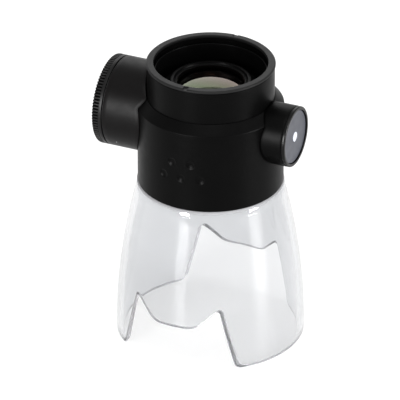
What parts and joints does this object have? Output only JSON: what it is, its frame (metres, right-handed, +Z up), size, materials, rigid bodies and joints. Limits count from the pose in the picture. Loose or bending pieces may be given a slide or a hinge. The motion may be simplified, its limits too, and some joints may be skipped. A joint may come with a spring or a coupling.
{
  "type": "jewelers loupe",
  "caption": "Focusing stand loupe: clear open skirt on the work, black barrel with a battery housing and a push switch, and a turning eyepiece with coated lenses.",
  "frame": {"origin": "centre of the viewed field, on the surface that the skirt's feet stand on", "axes": "+Z up along the optical axis; battery housing toward -X, push switch toward +X; the skirt's openings face -Y and +Y, grip dimples toward -Y"},
  "size_m": [0.0573, 0.0524, 0.0836],
  "materials": {
    "clear_skirt": "clear moulded acrylic, polished",
    "seal_metal": "thin bright ring",
    "black_body": "satin black with a fine grain",
    "black_cap": "satin black, knurled edge",
    "black_inner": "dull black against stray light",
    "rim_grey": "satin dark grey",
    "dark_grey": "satin",
    "black_gloss": "gloss black",
    "diffuser": "translucent white",
    "board_white": "white board",
    "led": "phosphor yellow",
    "steel": "bright",
    "contact_brass": "bright",
    "sleeve": "plain",
    "lead_red": "insulation",
    "lead_black": "insulation",
    "board_green": "circuit board",
    "rubber": "matt",
    "button_grey": "blue-grey satin",
    "dot_white": "milky white",
    "lens_glass": "coated glass"
  },
  "bodies": {
    "skirt_base": {"skirt": "clear_skirt", "skirt_seal": "seal_metal"},
    "barrel": {"main_barrel": "black_body", "guide_tube": "black_inner", "light_baffle": "black_inner", "diffuser_ring": "diffuser", "led_board": "board_white", "board_screw_1": "steel", "board_screw_2": "steel", "board_screw_3": "steel", "led_1": "led", "led_2": "led", "led_3": "led", "led_4": "led", "led_5": "led", "led_6": "led", "battery_housing": "black_body", "contact_plate": "contact_brass", "cell_sleeve": "sleeve", "coin_cell_1": "steel", "coin_cell_2": "steel", "battery_wire": "lead_red", "switch_housing": "black_body", "switch_bezel": "black_gloss", "switch_board": "board_green", "tact_switch": "steel", "switch_wire": "lead_black"},
    "eyepiece": {"eyepiece_barrel": "black_body", "eyepiece_bezel": "rim_grey", "step_sleeve": "dark_grey", "snap_ring": "dark_grey"},
    "lens_unit": {"lens_cell": "black_inner", "lens_ring": "black_inner", "eye_lens": "lens_glass", "lens_spacer": "black_inner", "field_lens": "lens_glass", "guide_pin_1": "steel", "guide_pin_2": "steel", "guide_pin_3": "steel"},
    "cap_contact_unit": {"cap_contact": "contact_brass", "contact_dome": "contact_brass"},
    "cap_unit": {"battery_cap": "black_cap", "cap_o_ring": "rubber"},
    "button_unit": {"push_button": "button_grey", "button_stem": "dark_grey", "indicator_dot": "dot_white"}
  },
  "joints": [
    {"name": "barrel_lift", "type": "slide", "parent": "skirt_base", "child": "barrel", "axis": [0, 0, 1], "range_m": [0, 0.008]},
    {"name": "eyepiece_turn", "type": "hinge", "parent": "barrel", "child": "eyepiece", "pos_m": [0, 0, 0.0783], "axis": [0, 0, 1], "range_deg": [-135, 135]},
    {"name": "lens_slide", "type": "slide", "parent": "barrel", "child": "lens_unit", "axis": [0, 0, 1], "range_m": [-0.0015, 0.0015]},
    {"name": "cap_slide", "type": "slide", "parent": "barrel", "child": "cap_contact_unit", "axis": [-1, 0, 0], "range_m": [0, 0.0015]},
    {"name": "cap_turn", "type": "hinge", "parent": "cap_contact_unit", "child": "cap_unit", "pos_m": [-0.0292, 0, 0.0656], "axis": [-1, 0, 0], "range_deg": [0, 540]},
    {"name": "button_press", "type": "slide", "parent": "barrel", "child": "button_unit", "axis": [-1, 0, 0], "range_m": [0, 0.0008], "stiffness_N_per_m": 800, "springref_m": -0.0005}
  ],
  "couplings": [
    {"joint": "lens_slide", "follows": "eyepiece_turn", "m_per_rad": 0.000636},
    {"joint": "cap_slide", "follows": "cap_turn", "m_per_rad": 0.000159}
  ]
}
